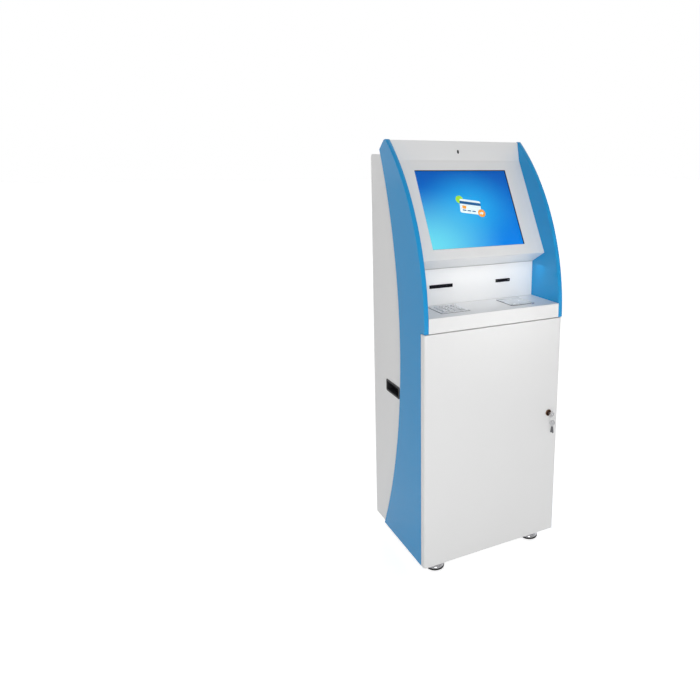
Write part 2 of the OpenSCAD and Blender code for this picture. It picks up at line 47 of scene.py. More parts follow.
# An edge that bends more than this gets rounded
STEEP = math.radians(35)
FEET = ("foot_front_left", "foot_front_right", "foot_rear_left", "foot_rear_right")
PAD_KEYS = [name for name in NODES if name.startswith("pin_key_")]
LEGENDS = {"cancel": "X", "clear": "<", "help": "?", "dot": ".", "double_zero": "00", "enter": "O"}
LEGEND_PAINT = {"cancel": "mark_red", "clear": "mark_amber", "enter": "mark_green"}


def set_inputs(node, **values):
    """Sets a node's own inputs by name, with _ for a space."""
    for name, value in values.items():
        node.inputs[name.replace("_", " ")].default_value = value


# ---------- camera, light and stage ----------

def make_camera():
    """A three-quarter view from the front left, with the lens shift of a cropped picture."""
    data = bpy.data.cameras.new("camera")
    data.sensor_width = 36.0
    data.lens = 34.51
    data.shift_x = -0.1713
    data.shift_y = -0.0723
    camera = bpy.data.objects.new("camera", data)
    bpy.context.scene.collection.objects.link(camera)
    azimuth, elevation, roll = 30.24, 12.44, 0.83
    turn = turned(-azimuth, "Z") @ turned(90 - elevation, "X") @ turned(roll, "Z")
    camera.matrix_world = at(-1.2132, -2.1039, 1.4827) @ turn
    bpy.context.scene.camera = camera


def soft_light(name, place, target, size, watts, spread=180):
    """A rectangular light at a place, aimed at a target."""
    data = bpy.data.lights.new(name, "AREA")
    data.shape = "RECTANGLE"
    data.size, data.size_y = size
    data.energy = watts
    data.spread = math.radians(spread)
    lamp = bpy.data.objects.new(name, data)
    lamp.location = place
    lamp.rotation_euler = (Vector(target) - Vector(place)).to_track_quat("-Z", "Y").to_euler()
    bpy.context.scene.collection.objects.link(lamp)


def make_hood_light():
    """A faint light under the screen's hood, shining down on the shelf."""
    fascia_low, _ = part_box("screen_fascia")
    panel_low, panel_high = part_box("recess_panel")
    share_back = 0.3
    y = fascia_low.y + share_back * (panel_low.y - fascia_low.y)
    z = panel_high.z - 6 * MM
    soft_light("hood", (0.04, y, z), (0.04, y - 0.03, 0), (0.44, 0.04), 0.07)


def make_sky(scene):
    """Soft light from all round, brightest from behind the object, in front of an even pale backdrop."""
    world = bpy.data.worlds.new("studio")
    world.use_nodes = True
    nodes, links = world.node_tree.nodes, world.node_tree.links
    way = nodes.new("ShaderNodeTexCoord")
    toward = nodes.new("ShaderNodeVectorMath")
    toward.operation = "DOT_PRODUCT"
    toward.inputs[1].default_value = (0.55, 0.83, 0.0)
    level = nodes.new("ShaderNodeMapRange")
    level.interpolation_type = "SMOOTHSTEP"
    set_inputs(level, From_Min=0.0, From_Max=0.7, To_Min=0.32, To_Max=1.04)
    seen = nodes.new("ShaderNodeLightPath")
    shown = nodes.new("ShaderNodeMix")
    set_inputs(shown, B=1.0)
    links.new(way.outputs["Generated"], toward.inputs[0])
    links.new(toward.outputs["Value"], level.inputs["Value"])
    links.new(level.outputs["Result"], shown.inputs["A"])
    links.new(seen.outputs["Is Camera Ray"], shown.inputs["Factor"])
    links.new(shown.outputs["Result"], nodes["Background"].inputs["Strength"])
    set_inputs(nodes["Background"], Color=(1, 1, 1, 1))
    scene.world = world


def make_studio():
    """The sky, three lights and a floor."""
    scene = bpy.context.scene
    scene.view_settings.view_transform = "Standard"
    make_sky(scene)
    soft_light("front", (-1.2, -3.0, 1.8), (0, 0, 0.95), (1.3, 1.3), 42)
    soft_light("recess", (-0.45, -1.9, 0.98), (0.10, -0.1, 1.06), (0.3, 0.3), 0.13, 25)
    make_hood_light()
    bm = bmesh.new()
    bmesh.ops.create_grid(bm, x_segments=1, y_segments=1, size=30)
    mesh = bpy.data.meshes.new("floor")
    bm.to_mesh(mesh)
    bm.free()
    floor = bpy.data.objects.new("floor", mesh)
    scene.collection.objects.link(floor)
    mesh.materials.append(floor_paint())


# ---------- materials ----------

class Paint:
    """A principled material in object space, with helpers that add surface detail."""

    def __init__(self, name, colour, rough, metallic=0.0, **sockets):
        self.mat = bpy.data.materials.new(name)
        self.mat.use_nodes = True
        self.nodes = self.mat.node_tree.nodes
        self.links = self.mat.node_tree.links
        self.shader = self.nodes["Principled BSDF"]
        self.colour = colour
        set_inputs(self.shader, Base_Color=(*colour, 1), Roughness=rough, Metallic=metallic, **sockets)

    def coords(self, stretch=(1, 1, 1)):
        place = self.nodes.new("ShaderNodeTexCoord")
        shift = self.nodes.new("ShaderNodeMapping")
        set_inputs(shift, Scale=stretch)
        self.links.new(place.outputs["Object"], shift.inputs["Vector"])
        return shift.outputs["Vector"]

    def noise(self, scale, detail=3.0, stretch=(1, 1, 1)):
        tex = self.nodes.new("ShaderNodeTexNoise")
        set_inputs(tex, Scale=scale, Detail=detail)
        self.links.new(self.coords(stretch), tex.inputs["Vector"])
        return tex.outputs["Fac"]

    def cells(self, scale, output="Color"):
        tex = self.nodes.new("ShaderNodeTexVoronoi")
        set_inputs(tex, Scale=scale)
        self.links.new(self.coords(), tex.inputs["Vector"])
        return tex.outputs[output]

    def span(self, source, low, high, start=0.3, stop=0.7, smooth=False):
        """Maps source, as it goes from start to stop, onto the range from low to high."""
        ramp = self.nodes.new("ShaderNodeMapRange")
        ramp.interpolation_type = "SMOOTHSTEP" if smooth else "LINEAR"
        set_inputs(ramp, From_Min=start, From_Max=stop, To_Min=low, To_Max=high)
        self.links.new(source, ramp.inputs["Value"])
        return ramp.outputs["Result"]

    def blend(self, first, second, factor):
        """Mixes two colours, each a tuple or a node's output, by a factor from a node's output."""
        mix = self.nodes.new("ShaderNodeMix")
        mix.data_type = "RGBA"
        for socket, colour in (("A", first), ("B", second)):
            if isinstance(colour, tuple):
                mix.inputs[socket].default_value = (*colour, 1)
            else:
                self.links.new(colour, mix.inputs[socket])
        self.links.new(factor, mix.inputs["Factor"])
        return mix.outputs["Result"]

    def tint(self, source, darker, start=0.3, stop=0.7):
        """Mixes the base colour towards darker, a factor on each channel, as source rises."""
        second = tuple(c * d for c, d in zip(self.colour, darker))
        result = self.blend(self.colour, second, self.span(source, 0, 1, start, stop))
        self.links.new(result, self.shader.inputs["Base Color"])

    def rough(self, source, low, high):
        self.links.new(self.span(source, low, high), self.shader.inputs["Roughness"])

    def bump(self, source, depth, strength=1.0, coat=False):
        node = self.nodes.new("ShaderNodeBump")
        set_inputs(node, Distance=depth, Strength=strength)
        self.links.new(source, node.inputs["Height"])
        self.links.new(node.outputs["Normal"], self.shader.inputs["Normal"])
        if coat:
            self.links.new(node.outputs["Normal"], self.shader.inputs["Coat Normal"])
        return self


def powder_coat():
    p = Paint("powder_coat_white", (0.83, 0.83, 0.828), 0.34, Coat_Weight=0.3, Coat_Roughness=0.15)
    p.tint(p.noise(1.6, 2), (0.985, 0.985, 0.985))
    p.rough(p.noise(30, 4), 0.30, 0.40)
    return p.bump(p.noise(340, 2), 0.00002, 0.35, coat=True).mat


def gloss_blue():
    p = Paint("gloss_paint_blue", (0.014, 0.315, 0.67), 0.1, Specular_IOR_Level=0.3)
    p.tint(p.noise(2.2, 2), (0.92, 0.95, 0.97))
    p.rough(p.noise(14, 3), 0.08, 0.16)
    return p.bump(p.noise(60, 1), 0.000004, 0.2).mat


def zinc_sheet():
    p = Paint("zinc_sheet", (0.58, 0.59, 0.60), 0.36, metallic=1.0)
    p.tint(p.cells(42), (0.82, 0.83, 0.85), 0.1, 0.9)
    p.rough(p.noise(60, 4), 0.28, 0.46)
    return p.bump(p.noise(500, 2), 0.00003, 0.5).mat


def brushed(name, colour, stretch, rough=(0.24, 0.38)):
    p = Paint(name, colour, sum(rough) / 2, metallic=1.0)
    grain = p.noise(60, 3, stretch)
    p.tint(grain, (0.86, 0.86, 0.87))
    p.rough(grain, *rough)
    return p.bump(grain, 0.00002, 0.5).mat


def textured_plastic(name, colour, rough=0.5):
    p = Paint(name, colour, rough)
    p.tint(p.noise(18, 3), (0.8, 0.8, 0.82))
    p.rough(p.noise(120, 3), rough - 0.08, rough + 0.1)
    return p.bump(p.cells(900, output="Distance"), 0.00006, 0.5).mat


def gloss_black():
    p = Paint("bezel_gloss", (0.004, 0.004, 0.009), 0.42, Specular_IOR_Level=0.15)
    p.rough(p.noise(50, 4), 0.36, 0.50)
    return p.bump(p.noise(180, 2), 0.00004, 0.5).mat


def paper():
    p = Paint("roll_paper", (0.88, 0.88, 0.85), 0.8)
    p.tint(p.noise(900, 2, (0.01, 1, 1)), (0.93, 0.93, 0.92))
    return p.bump(p.noise(1400, 2), 0.00003, 0.5).mat


def touch_glass():
    """Clear glass with an anti-glare face and faint wiping marks."""
    p = Paint("touch_glass_clear", (1, 1, 1), 0.02, Transmission_Weight=1.0, IOR=1.22)
    p.rough(p.noise(9, 4, (1, 1, 3)), 0.02, 0.05)
    return p.bump(p.noise(6, 1), 0.00001, 0.2).mat


def frosted_window():
    p = Paint("reader_window_glass", (0.72, 0.745, 0.76), 0.22, Coat_Weight=0.7, Coat_Roughness=0.08)
    p.tint(p.noise(7, 3), (0.95, 0.96, 0.97))
    p.rough(p.noise(35, 4), 0.16, 0.3)
    return p.bump(p.noise(500, 2), 0.00001, 0.3).mat


def glowing(name, colour, light, strength):
    p = Paint(name, colour, 0.5)
    p.tint(p.noise(3, 2), (0.99, 0.99, 0.99))
    set_inputs(p.shader, Emission_Color=(*light, 1), Emission_Strength=strength)
    return p.mat


def floor_paint():
    """A pale floor that looks evenly lit, and throws less light back up than it shows."""
    p = Paint("floor_paint", (0.93, 0.93, 0.93), 0.6)
    p.tint(p.noise(3, 2), (0.99, 0.99, 0.99))
    set_inputs(p.shader, Emission_Color=(1, 1, 1, 1))
    seen = p.nodes.new("ShaderNodeLightPath").outputs["Is Camera Ray"]
    p.links.new(p.span(seen, 0.20, 0.55, 0, 1), p.shader.inputs["Emission Strength"])
    return p.mat


def circuit_board():
    p = Paint("circuit_board", (0.01, 0.13, 0.05), 0.35, Coat_Weight=0.5)
    p.tint(p.cells(260), (2.2, 1.7, 1.8), 0.55, 0.6)
    p.rough(p.noise(300, 2), 0.25, 0.45)
    return p.bump(p.cells(260, output="Distance"), 0.0001, 0.4).mat


class Picture(Paint):
    """The display's picture: soft pools of light in a frame that runs from -1 to 1 both ways."""

    def __init__(self, place, width, height):
        super().__init__("screen_picture", (0.004, 0.004, 0.005), 0.3, Specular_IOR_Level=0.0)
        self.frame = self.put(self.coords(), place.to_translation(), place.to_euler(),
                              (width / 2, 1, height / 2))

    def put(self, source, middle, turn, reach):
        shift = self.nodes.new("ShaderNodeMapping")
        shift.vector_type = "TEXTURE"
        set_inputs(shift, Location=middle, Rotation=turn, Scale=reach)
        self.links.new(source, shift.inputs["Vector"])
        return shift.outputs["Vector"]

    def pool(self, picture, colour, middle, reach, strength):
        """A round pool of another colour, fading from its middle to nothing at its reach."""
        ball = self.nodes.new("ShaderNodeTexGradient")
        ball.gradient_type = "SPHERICAL"
        place = self.put(self.frame, (middle[0], 0, middle[1]), (0, 0, 0), (reach[0], 1, reach[1]))
        self.links.new(place, ball.inputs["Vector"])
        return self.blend(picture, colour, self.span(ball.outputs["Fac"], 0, strength, 0, 1, smooth=True))

    def maths(self, operation, first, second=0.0):
        node = self.nodes.new("ShaderNodeMath")
        node.operation = operation
        self.links.new(first, node.inputs[0])
        if isinstance(second, float):
            node.inputs[1].default_value = second
        else:
            self.links.new(second, node.inputs[1])
        return node.outputs["Value"]

    def axis(self, name):
        parts = self.nodes.new("ShaderNodeSeparateXYZ")
        self.links.new(self.frame, parts.inputs["Vector"])
        return parts.outputs[name]

    def edge(self, picture):
        """Black outside the lit area."""
        side = self.maths("ABSOLUTE", self.axis("X"))
        top = self.maths("ABSOLUTE", self.axis("Z"))
        return self.blend(picture, (0.0, 0.0, 0.0),
                          self.maths("GREATER_THAN", self.maths("MAXIMUM", side, top), 0.994))


def screen_picture(place, width, height):
    """A plain blue picture, lighter towards one corner, with a soft glow behind the pictogram."""
    p = Picture(place, width, height)
    shown = p.blend((0.0, 0.24, 0.88), (0.0, 0.10, 0.48), p.span(p.axis("Z"), 0, 1, -1.0, 1.0))
    shown = p.pool(shown, (0.02, 0.46, 0.95), (0.0, 0.0), (1.2, 1.2), 0.9)
    shown = p.pool(shown, (0.16, 0.78, 0.95), (-1.0, -1.0), (1.7, 1.7), 1.0)
    shown = p.edge(shown)
    p.links.new(shown, p.shader.inputs["Emission Color"])
    set_inputs(p.shader, Emission_Strength=0.96)
    return p.mat


MAT = {}


def make_materials():
    MAT.update(
        white=powder_coat(),
        blue=gloss_blue(),
        zinc=zinc_sheet(),
        steel=brushed("satin_steel", (0.86, 0.87, 0.88), (1, 60, 1), (0.42, 0.56)),
        chrome=brushed("foot_chrome", (0.72, 0.72, 0.74), (1, 1, 8), (0.08, 0.16)),
        key=brushed("key_nickel", (0.66, 0.66, 0.67), (1, 1, 30), (0.2, 0.34)),
        brass=brushed("lock_brass", (0.17, 0.09, 0.05), (20, 1, 1), (0.26, 0.4)),
        # Near-black metal for the lock's plug and face ring: painted shade on the lock's face.
        bronze=brushed("lock_bronze", (0.035, 0.02, 0.014), (20, 1, 1), (0.26, 0.4)),
        # The spare keys' blades: steel darkened to paint the shade they hang in.
        blade=brushed("key_blade_steel_painted_shade", (0.20, 0.20, 0.21), (1, 1, 30), (0.24, 0.38)),
        black=textured_plastic("black_plastic", (0.014, 0.014, 0.016)),
        grey=textured_plastic("reader_plastic", (0.52, 0.54, 0.56), 0.4),
        nylon=textured_plastic("gear_nylon", (0.74, 0.73, 0.68), 0.42),
        # Near-black plastic for the chips, and painted shade for vent openings, slits and the latch's slot.
        dark=textured_plastic("black_plastic_and_painted_shade", (0.004, 0.004, 0.006), 0.3),
        bezel=gloss_black(),
        rubber=textured_plastic("seal_rubber", (0.02, 0.02, 0.02), 0.72),
        membrane=textured_plastic("pad_membrane_rubber", (0.05, 0.05, 0.055), 0.66),
        paper=paper(),
        glass=touch_glass(),
        frosted=frosted_window(),
        board=circuit_board(),
        ink=textured_plastic("legend_ink", (0.10, 0.10, 0.11), 0.5),
        mark_red=textured_plastic("legend_red", (0.45, 0.05, 0.04), 0.5),
        mark_amber=textured_plastic("legend_amber", (0.60, 0.36, 0.04), 0.5),
        mark_green=textured_plastic("legend_green", (0.05, 0.32, 0.09), 0.5),
        lever=textured_plastic("lever_green_plastic", (0.03, 0.30, 0.12), 0.42),
        lamp=glowing("lamp_blue", (0.01, 0.06, 0.25), (0.02, 0.16, 0.75), 0.35),
        lit_card=glowing("picture_card", (0.2, 0.2, 0.2), (0.80, 0.95, 0.98), 0.9),
        lit_amber=glowing("picture_amber", (0.1, 0.05, 0.0), (0.95, 0.36, 0.05), 0.95),
        lit_green=glowing("picture_green", (0.05, 0.1, 0.0), (0.36, 0.74, 0.05), 0.95),
        lit_ink=glowing("picture_ink", (0.0, 0.02, 0.05), (0.0, 0.10, 0.30), 0.9),
    )


# A material, the rounding of edges in millimetres, and the CAD nodes that take both
FINISHES = (
    ("white", 0.0, ("door_stiffeners",)),
    ("white", 0.5, ("base_tray", "side_wall_left", "side_wall_right", "back_panel", "door_frame")),
    ("white", 0.6, ("top_cover", "recess_panel", "front_door", "rear_door")),
    ("white", 0.7, ("screen_fascia",)),
    ("white", 0.9, ("shelf_deck",)),
    ("blue", 0.8, ("wing_left", "wing_right")),
    ("zinc", 0.0, ("hinge_pins", "foot_lock_nuts")),
    ("zinc", 0.3, ("lock_cam",)),
    ("zinc", 0.5, ("equipment_shelf", "rear_latch")),
    ("zinc", 0.8, ("monitor_chassis",)),
    ("zinc", 1.0, ("power_unit",)),
    ("zinc", 1.2, ("computer_unit",)),
    ("steel", 0.4, ("pin_pad_housing",)),
    ("steel", 0.8, PAD_KEYS),
    ("brass", 0.5, ("lock_barrel",)),
    # The lock's plug takes the near-black metal that paints the shade on the lock's face.
    ("bronze", 0.3, ("lock_plug",)),
    ("key", 0.0, ("key_ring", "spare_keys")),
    ("key", 0.4, ("service_key",)),
    ("black", 0.6, ("power_inlet", "camera_module")),
    ("black", 0.8, ("carry_handles",)),
    ("black", 1.0, ("card_reader",)),
    ("black", 1.2, ("receipt_printer",)),
    ("bezel", 0.8, ("receipt_bezel", "card_bezel")),
    ("chrome", 0.0, FEET),
    ("grey", 0.5, ("id_reader",)),
    ("glass", 0.0, ("touch_glass",)),
    ("frosted", 0.3, ("id_reader_window",)),
    ("paper", 0.3, ("paper_roll",)),
)


def dress(node, mat, edge=0.0):
    """Gives a CAD node its material and, with an edge in millimetres, rounded corners."""
    obj = NODES[node]
    obj.data.materials.clear()
    obj.data.materials.append(mat)
    if edge:
        weld = obj.modifiers.new("weld", "WELD")
        weld.merge_threshold = 1e-6
        bevel = obj.modifiers.new("round", "BEVEL")
        bevel.width = edge * MM
        bevel.segments = 2
        bevel.limit_method = "ANGLE"
        bevel.angle_limit = STEEP
        bevel.harden_normals = True


def dress_nodes():
    for mat, edge, names in FINISHES:
        for name in names:
            dress(name, MAT[mat], edge)


# ---------- shapes ----------

def at(x, y, z):
    return Matrix.Translation((x, y, z))


def at_mm(x, y, z):
    return at(x * MM, y * MM, z * MM)


def turned(degrees, axis):
    return Matrix.Rotation(math.radians(degrees), 4, axis)


def points_mm(*points):
    """Points of an outline or profile, given in millimetres. A third value is kept as it is."""
    return [(a * MM, b * MM, *rest) for a, b, *rest in points]


# Turns an outline drawn in X and Y, thickened along Z, to stand in Y and Z, thickened along X
UPRIGHT = Matrix(((0, 0, 1, 0), (1, 0, 0, 0), (0, 1, 0, 0), (0, 0, 0, 1)))


def facing(way):
    """Turns a shape drawn towards +Z so that it faces another way."""
    return Vector(way).to_track_quat("Z", "Y").to_matrix().to_4x4()


def box_of(node):
    """Low corner, high corner and middle of a node's box."""
    low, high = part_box(node)
    return low, high, (low + high) / 2


def put_in(bm, part, place):
    """Adds one closed part to a shape, at its place."""
    bmesh.ops.recalc_face_normals(part, faces=part.faces)
    mesh = bpy.data.meshes.new("part")
    part.to_mesh(mesh)
    part.free()
    mesh.transform(place)
    bm.from_mesh(mesh)
    bpy.data.meshes.remove(mesh)


def round_edges(part, edge):
    sharp = [e for e in part.edges if len(e.link_faces) == 2 and e.calc_face_angle() > STEEP]
    bmesh.ops.bevel(part, geom=sharp, offset=edge, segments=2, affect="EDGES", profile=0.5,
                    clamp_overlap=True)


def prism(bm, outline, depth, place=Matrix(), edge=0.0):
    """Extrudes a closed outline of (x, y) points by depth along Z, and rounds its edges."""
    part = bmesh.new()
    low = [part.verts.new((x, y, 0)) for x, y in outline]
    high = [part.verts.new((x, y, depth)) for x, y in outline]
    part.faces.new(list(reversed(low)))
    part.faces.new(high)
    for i in range(len(outline)):
        j = (i + 1) % len(outline)
        part.faces.new((low[i], low[j], high[j], high[i]))
    if edge:
        round_edges(part, edge)
    put_in(bm, part, place)


def block(bm, low, high, edge):
    """A box between two corners, with rounded edges."""
    low, high = Vector(low), Vector(high)
    outline = [(low.x, low.y), (high.x, low.y), (high.x, high.y), (low.x, high.y)]
    prism(bm, outline, high.z - low.z, at(0, 0, low.z), edge)


def hexagon_reach(radius, angle):
    """Distance from the middle of a hexagon to its edge, at an angle."""
    return radius / math.cos((angle + math.pi / 6) % (math.pi / 3) - math.pi / 6)


def lathe(bm, profile, place=Matrix(), steps=32, closed=False):
    """Turns (radius, z) points about Z; a third value marks a ring that is six-sided."""
    part = bmesh.new()
    rings = []
    for radius, z, *six in profile:
        if radius < 1e-7:
            rings.append([part.verts.new((0, 0, z))])
            continue
        ring = []
        for i in range(steps):
            a = 2 * math.pi * i / steps
            reach = hexagon_reach(radius, a) if six else radius
            ring.append(part.verts.new((reach * math.cos(a), reach * math.sin(a), z)))
        rings.append(ring)
    for a, b in zip(rings, rings[1:] + (rings[:1] if closed else [])):
        if len(a) > 1 or len(b) > 1:
            for i in range(steps):
                j = (i + 1) % steps
                corners = (a[i % len(a)], a[j % len(a)], b[j % len(b)], b[i % len(b)])
                part.faces.new(list(dict.fromkeys(corners)))
    put_in(bm, part, place)


def rounded_rectangle(width, height, radius, steps=6):
    """Outline with round corners, centred on the origin."""
    points = []
    for quarter, (sx, sy) in enumerate(((1, 1), (-1, 1), (-1, -1), (1, -1))):
        for i in range(steps + 1):
            a = math.pi / 2 * (quarter + i / steps)
            points.append((sx * (width / 2 - radius) + radius * math.cos(a),
                           sy * (height / 2 - radius) + radius * math.sin(a)))
    return points


def plate_mm(width, height, radius, steps=6):
    """A rounded rectangle given in millimetres."""
    return rounded_rectangle(width * MM, height * MM, radius * MM, steps)


def circle_points(radius, steps=32, middle=(0, 0)):
    return [(middle[0] + radius * math.cos(2 * math.pi * i / steps),
             middle[1] + radius * math.sin(2 * math.pi * i / steps)) for i in range(steps)]


def framed(bm, outer, inner, depth, place=Matrix(), edge=0.0):
    """A flat ring between two outlines with the same number of points."""
    part = bmesh.new()
    count = len(outer)
    rings = [[part.verts.new((x, y, z)) for x, y in line]
             for line, z in ((outer, 0), (outer, depth), (inner, depth), (inner, 0))]
    for a, b in zip(rings, rings[1:] + rings[:1]):
        for i in range(count):
            j = (i + 1) % count
            part.faces.new((a[i], a[j], b[j], b[i]))
    if edge:
        round_edges(part, edge)
    put_in(bm, part, place)


def screw(bm, place, radius=3.0 * MM):
    """A button-head screw with a hexagon socket, its seat at z = 0."""
    high = 0.55 * radius
    lathe(bm, [(0, 0), (radius, 0), (radius, 0.3 * high), (0.86 * radius, 0.72 * high),
               (0.6 * radius, high), (0.42 * radius, high, True), (0.42 * radius, 0.35 * high, True),
               (0, 0.35 * high)], place, 24)


def add(name, data, body, spot=(0, 0, 0)):
    """Adds an object that rides on a body."""
    obj = bpy.data.objects.new(name, data)
    obj.location = spot
    bpy.context.scene.collection.objects.link(obj)
    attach(obj, body)
    return obj


def piece(name, bm, mat, body="cabinet", smooth=32):
    """Makes a piece of a finished shape."""
    mesh = bpy.data.meshes.new(name)
    bm.to_mesh(mesh)
    bm.free()
    mesh.materials.append(MAT[mat])
    mesh.shade_smooth()
    mesh.set_sharp_from_angle(angle=math.radians(smooth))
    return add(name, mesh, body)


def wire(name, points, radius, mat, body):
    """A round wire through a list of points."""
    curve = bpy.data.curves.new(name, "CURVE")
    curve.dimensions = "3D"
    curve.bevel_depth = radius
    curve.bevel_resolution = 3
    curve.use_fill_caps = True
    line = curve.splines.new("POLY")
    line.points.add(len(points) - 1)
    for point, place in zip(line.points, points):
        point.co = (*place, 1)
    curve.materials.append(MAT[mat])
    return add(name, curve, body)


# ---------- screen and camera ----------

def slope_place():
    """Frame of the touch glass: X across, Y into the machine, Z up the slope."""
    _, _, middle = box_of("touch_glass")
    face = max(NODES["touch_glass"].data.polygons, key=lambda p: p.area)
    tilt = math.degrees(math.atan2(abs(face.normal.z), abs(face.normal.y)))
    return Matrix.Translation(middle) @ turned(-tilt, "X")


def slope_size(node):
    """Size of a sloping plate across, into the machine and up the slope."""
    inverse = slope_place().inverted()
    spots = [inverse @ v.co for v in NODES[node].data.vertices]
    return [max(s[i] for s in spots) - min(s[i] for s in spots) for i in range(3)]


def make_screen():
    """The picture, and on it a pictogram of a bank card in layers, from the disc up to the arrow."""
    place = slope_place()
    lit_width, lit_height = 374 * MM, 297 * MM
    dress("lcd_panel", screen_picture(place, lit_width, lit_height))
    # The pictogram lies in the thin gap between the cell and the glass
    gap = 0.085 * MM
    glass_back = slope_size("touch_glass")[1] / 2
    plane = place @ at(2 * MM, glass_back + gap, 6 * MM) @ turned(90, "X")
    tilt = plane @ turned(-9, "Z")
    thin = 0.01 * MM
    layer = 1.5 * thin
    bm = bmesh.new()
    prism(bm, plate_mm(84, 54, 7), thin, tilt)
    piece("picture_card", bm, "lit_card")
    bm = bmesh.new()
    prism(bm, points_mm((-42, 8), (42, 8), (42, 19), (-42, 19)), thin, tilt @ at(0, 0, layer))
    for x in (-25, -6, 13):
        prism(bm, plate_mm(15, 4, 1.9), thin, tilt @ at(x * MM, -16 * MM, layer))
    piece("picture_card_stripe", bm, "lit_ink")
    bm = bmesh.new()
    prism(bm, plate_mm(16, 12, 2.5), thin, tilt @ at(-25 * MM, -4 * MM, layer))
    prism(bm, circle_points(15 * MM), thin, plane @ at(40 * MM, -26 * MM, 2 * layer))
    piece("picture_coin", bm, "lit_amber")
    bm = bmesh.new()
    arrow = points_mm((-7, -3), (1, -3), (1, -7), (9, 0), (1, 7), (1, 3), (-7, 3))
    prism(bm, arrow, thin, plane @ at(39 * MM, -26 * MM, 3 * layer))
    piece("picture_arrow", bm, "lit_card")
    bm = bmesh.new()
    prism(bm, circle_points(15 * MM), thin, plane @ at(-38 * MM, 30 * MM, -layer))
    piece("picture_disc", bm, "lit_green")


def make_monitor_back():
    """Vents painted as dark plates of shade, screws, sockets and the mounting plate on the rear of the
    monitor's case.
    """
    place = slope_place()
    width, _, height = slope_size("monitor_chassis")
    case_depth = 53 * MM
    back = slope_size("touch_glass")[1] / 2 + case_depth
    outward = turned(-90, "X")
    vents, pitch = 22, 12 * MM
    bm = bmesh.new()
    for i in range(vents):
        x = (i - (vents - 1) / 2) * pitch
        # Each vent is a thin dark plate on the case: painted shade where an opening would be.
        prism(bm, plate_mm(4, 46, 1.9, 4), 0.6 * MM, place @ at(x, back, 95 * MM) @ outward)
    piece("monitor_vent_shade", bm, "dark")
    bm = bmesh.new()
    plate_x, plate_z = 50 * MM, 50 * MM
    case_x, case_z = width / 2 - 24 * MM, height / 2 - 24 * MM
    for sx in (-1, 1):
        for sz in (-1, 1):
            screw(bm, place @ at(sx * plate_x, back, sz * plate_z) @ outward, 4 * MM)
            screw(bm, place @ at(sx * case_x, back, sz * case_z) @ outward)
    piece("monitor_screws", bm, "key")
    bm = bmesh.new()
    for x, wide in ((-60, 30), (0, 18), (50, 22)):
        framed(bm, plate_mm(wide, 9, 1.5), plate_mm(wide - 3, 6, 1), 3 * MM,
               place @ at(x * MM, back, -96 * MM) @ outward)
    piece("monitor_sockets", bm, "black")
    bm = bmesh.new()
    framed(bm, plate_mm(136, 136, 8), plate_mm(84, 84, 8), 1.5 * MM,
           place @ at(0, back, 0) @ outward, 0.4 * MM)
    piece("monitor_mount_plate", bm, "steel")


def make_camera_lens():
    """A lens and a lamp on the camera's tip, which leans back with the header."""
    low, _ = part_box("camera_module")
    tips = [v.co for v in NODES["camera_module"].data.vertices if v.co.y < low.y + 0.4 * MM]
    tip = sum(tips, Vector()) / len(tips)
    lean = 0.21
    out = facing((0, -1, lean))
    bm = bmesh.new()
    lathe(bm, points_mm((0, 0), (2.9, 0), (2.9, 0.25), (2.4, 0.45), (0, 0.5)),
          at(0, tip.y, tip.z + 1.4 * MM) @ out, 24)
    piece("camera_glass", bm, "bezel")
    bm = bmesh.new()
    lathe(bm, points_mm((0, 0), (0.9, 0), (0.7, 0.35), (0, 0.45)),
          at(0, tip.y, tip.z - 3.4 * MM) @ out, 16)
    piece("camera_lamp", bm, "lamp")


# ---------- recess and shelf ----------

def make_slots():
    """A dark plate behind each slit that paints the shade inside the slot, a toothed tear bar over the
    paper, and guides beside the card.
    """
    teeth, tooth_margin, card_half = 27, 5.5 * MM, 26.5 * MM
    for name, share in (("receipt", 0.15), ("card", 0.115)):
        low, high, middle = box_of(f"{name}_bezel")
        half = (high.x - low.x) / 2
        slit = (high.z - low.z) * share
        bm = bmesh.new()
        # The dark plate behind the slit is painted shade for the inside of the slot.
        block(bm, (low.x + 4 * MM, high.y + 0.2 * MM, middle.z - 3.4 * MM),
              (high.x - 4 * MM, high.y + 1.6 * MM, middle.z + 3.4 * MM), 0.2 * MM)
        piece(f"{name}_slit_shade", bm, "dark")
        bm = bmesh.new()
        if name == "receipt":
            step = 2 * (half - tooth_margin) / teeth
            for i in range(teeth):
                x = middle.x - half + tooth_margin + (i + 0.5) * step
                prism(bm, [(-step / 2, 0), (step / 2, 0), (0, -0.9 * MM)], 0.4 * MM,
                      at(x, low.y + 3 * MM, middle.z + slit) @ turned(90, "X"))
            piece("receipt_tear_bar", bm, "steel", smooth=10)
        else:
            for sx in (-1, 1):
                x = middle.x + sx * card_half
                block(bm, (x - 0.6 * MM, low.y + 0.8 * MM, middle.z - slit),
                      (x + 0.6 * MM, high.y, middle.z + slit), 0.2 * MM)
            piece("card_guides", bm, "grey")


def make_legends():
    """A digit or a plain symbol on each key, which goes down with it."""
    for node in PAD_KEYS:
        key = node[len("pin_key_"):]
        _, high, middle = box_of(node)
        text = bpy.data.curves.new(f"legend_{key}", "FONT")
        text.body = LEGENDS.get(key, key)
        text.size = 9.5 * MM
        text.align_x = "CENTER"
        text.align_y = "CENTER"
        text.extrude = 0.03 * MM
        text.materials.append(MAT[LEGEND_PAINT.get(key, "ink")])
        add(f"legend_{key}", text, node, (middle.x, middle.y, high.z + 0.01 * MM))


def gasket(name, node, proud, corner, drop, thick, edge):
    """A rubber frame round the top of a device on the shelf."""
    low, high, middle = box_of(node)
    width, depth = high.x - low.x, high.y - low.y
    bm = bmesh.new()
    framed(bm, rounded_rectangle(width + 2 * proud, depth + 2 * proud, corner),
           rounded_rectangle(width, depth, 4 * MM), thick, at(middle.x, middle.y, high.z - drop), edge)
    piece(name, bm, "membrane")


